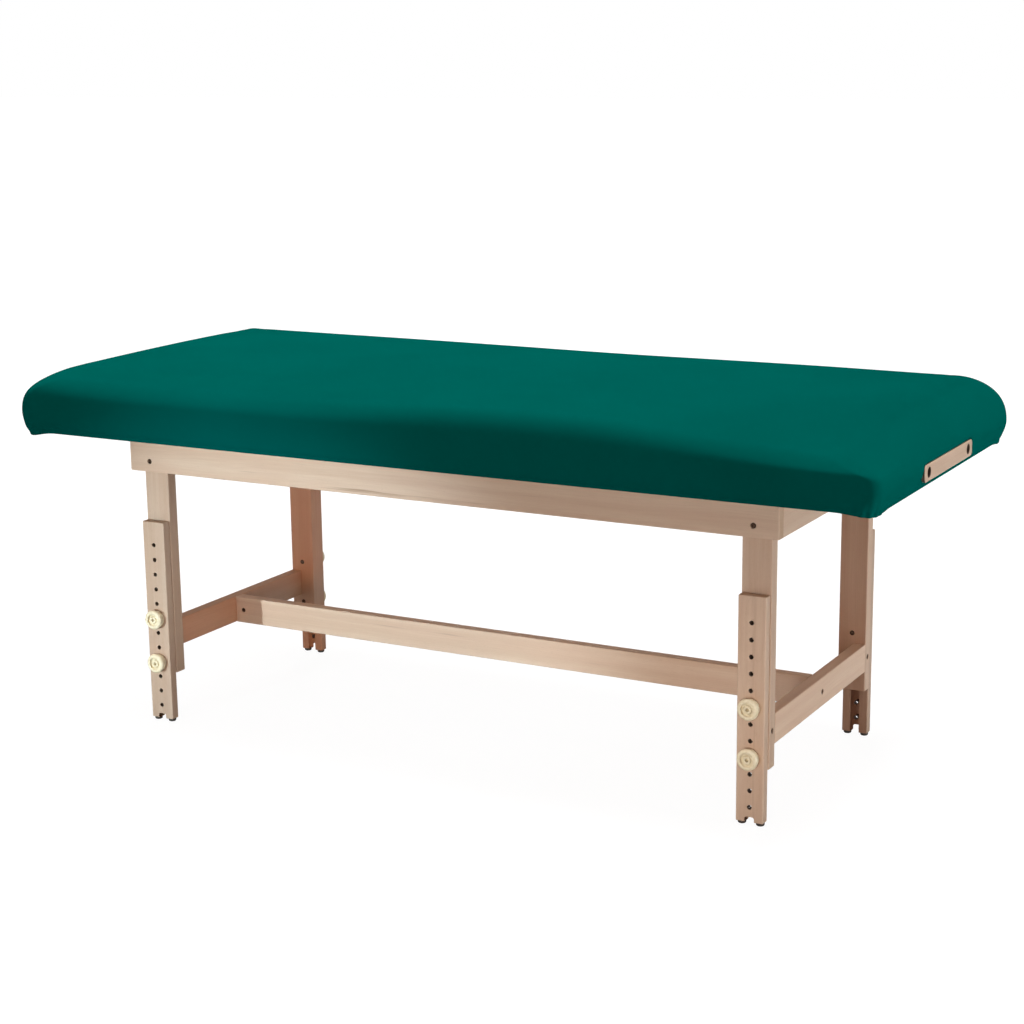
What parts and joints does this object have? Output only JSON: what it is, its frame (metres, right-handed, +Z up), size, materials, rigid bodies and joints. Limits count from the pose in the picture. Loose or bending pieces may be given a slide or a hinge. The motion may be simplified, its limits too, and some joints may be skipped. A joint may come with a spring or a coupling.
{
  "type": "massage table",
  "caption": "Stationary massage table with a teal padded vinyl top on a maple base; drilled sliding legs held by cream knobs set its height, and an outlet plate takes a face cradle.",
  "frame": {"origin": "on the floor, under the middle of the table", "axes": "+Z up, +X along the table to the head end with the cradle outlets, +Y to the far long side"},
  "size_m": [1.866, 0.776, 0.7541],
  "materials": {
    "maple": "clear satin lacquer",
    "plywood": "bare birch plywood",
    "teal_vinyl": "fine-grained upholstery vinyl over foam",
    "cream_plastic": "moulded satin",
    "zinc_steel": "zinc plated",
    "black_steel": "black oxide",
    "glide_plastic": "moulded"
  },
  "bodies": {
    "table_frame": {"upholstered_top": "teal_vinyl", "deck_panel": "plywood", "top_rail_front": "maple", "top_rail_back": "maple", "top_rail_foot": "maple", "top_rail_head": "maple", "cradle_outlet_plate": "maple", "long_apron_front": "maple", "long_apron_back": "maple", "end_apron_head": "maple", "end_apron_foot": "maple", "end_rail_head": "maple", "end_rail_foot": "maple", "centre_stretcher": "maple", "stretcher_bolt_head": "black_steel", "stretcher_bolt_foot": "black_steel", "barrel_nut_head": "zinc_steel", "barrel_nut_foot": "zinc_steel", "upper_leg_front_head": "maple", "clamp_bolt_front_head_upper": "black_steel", "clamp_bolt_front_head_lower": "black_steel", "rail_bolt_front_head": "black_steel", "apron_bolt_front_head": "black_steel", "upper_leg_front_foot": "maple", "clamp_bolt_front_foot_upper": "black_steel", "clamp_bolt_front_foot_lower": "black_steel", "rail_bolt_front_foot": "black_steel", "apron_bolt_front_foot": "black_steel", "upper_leg_back_head": "maple", "clamp_bolt_back_head_upper": "black_steel", "clamp_bolt_back_head_lower": "black_steel", "rail_bolt_back_head": "black_steel", "apron_bolt_back_head": "black_steel", "upper_leg_back_foot": "maple", "clamp_bolt_back_foot_upper": "black_steel", "clamp_bolt_back_foot_lower": "black_steel", "rail_bolt_back_foot": "black_steel", "apron_bolt_back_foot": "black_steel"},
    "sliding_leg_front_head": {"lower_leg_front_head": "maple", "foot_glide_front_head_1": "glide_plastic", "foot_glide_front_head_2": "glide_plastic"},
    "knob_front_head_lower": {"clamp_knob_front_head_lower": "cream_plastic"},
    "knob_front_head_upper": {"clamp_knob_front_head_upper": "cream_plastic"},
    "sliding_leg_front_foot": {"lower_leg_front_foot": "maple", "foot_glide_front_foot_1": "glide_plastic", "foot_glide_front_foot_2": "glide_plastic"},
    "knob_front_foot_lower": {"clamp_knob_front_foot_lower": "cream_plastic"},
    "knob_front_foot_upper": {"clamp_knob_front_foot_upper": "cream_plastic"},
    "sliding_leg_back_head": {"lower_leg_back_head": "maple", "foot_glide_back_head_1": "glide_plastic", "foot_glide_back_head_2": "glide_plastic"},
    "knob_back_head_lower": {"clamp_knob_back_head_lower": "cream_plastic"},
    "knob_back_head_upper": {"clamp_knob_back_head_upper": "cream_plastic"},
    "sliding_leg_back_foot": {"lower_leg_back_foot": "maple", "foot_glide_back_foot_1": "glide_plastic", "foot_glide_back_foot_2": "glide_plastic"},
    "knob_back_foot_lower": {"clamp_knob_back_foot_lower": "cream_plastic"},
    "knob_back_foot_upper": {"clamp_knob_back_foot_upper": "cream_plastic"}
  },
  "joints": [
    {"name": "leg_height_front_head", "type": "slide", "parent": "table_frame", "child": "sliding_leg_front_head", "axis": [0, 0, -1], "range_m": [-0.09525, 0.15875]},
    {"name": "knob_turn_front_head_lower", "type": "hinge", "parent": "table_frame", "child": "knob_front_head_lower", "pos_m": [0.6707, -0.2938, 0.13075], "axis": [0, -1, 0], "continuous": true},
    {"name": "knob_turn_front_head_upper", "type": "hinge", "parent": "table_frame", "child": "knob_front_head_upper", "pos_m": [0.6707, -0.2938, 0.226], "axis": [0, -1, 0], "continuous": true},
    {"name": "leg_height_front_foot", "type": "slide", "parent": "table_frame", "child": "sliding_leg_front_foot", "axis": [0, 0, -1], "range_m": [-0.09525, 0.15875]},
    {"name": "knob_turn_front_foot_lower", "type": "hinge", "parent": "table_frame", "child": "knob_front_foot_lower", "pos_m": [-0.6707, -0.2938, 0.13075], "axis": [0, -1, 0], "continuous": true},
    {"name": "knob_turn_front_foot_upper", "type": "hinge", "parent": "table_frame", "child": "knob_front_foot_upper", "pos_m": [-0.6707, -0.2938, 0.226], "axis": [0, -1, 0], "continuous": true},
    {"name": "leg_height_back_head", "type": "slide", "parent": "table_frame", "child": "sliding_leg_back_head", "axis": [0, 0, -1], "range_m": [-0.09525, 0.15875]},
    {"name": "knob_turn_back_head_lower", "type": "hinge", "parent": "table_frame", "child": "knob_back_head_lower", "pos_m": [0.6707, 0.2938, 0.13075], "axis": [0, 1, 0], "continuous": true},
    {"name": "knob_turn_back_head_upper", "type": "hinge", "parent": "table_frame", "child": "knob_back_head_upper", "pos_m": [0.6707, 0.2938, 0.226], "axis": [0, 1, 0], "continuous": true},
    {"name": "leg_height_back_foot", "type": "slide", "parent": "table_frame", "child": "sliding_leg_back_foot", "axis": [0, 0, -1], "range_m": [-0.09525, 0.15875]},
    {"name": "knob_turn_back_foot_lower", "type": "hinge", "parent": "table_frame", "child": "knob_back_foot_lower", "pos_m": [-0.6707, 0.2938, 0.13075], "axis": [0, 1, 0], "continuous": true},
    {"name": "knob_turn_back_foot_upper", "type": "hinge", "parent": "table_frame", "child": "knob_back_foot_upper", "pos_m": [-0.6707, 0.2938, 0.226], "axis": [0, 1, 0], "continuous": true}
  ]
}
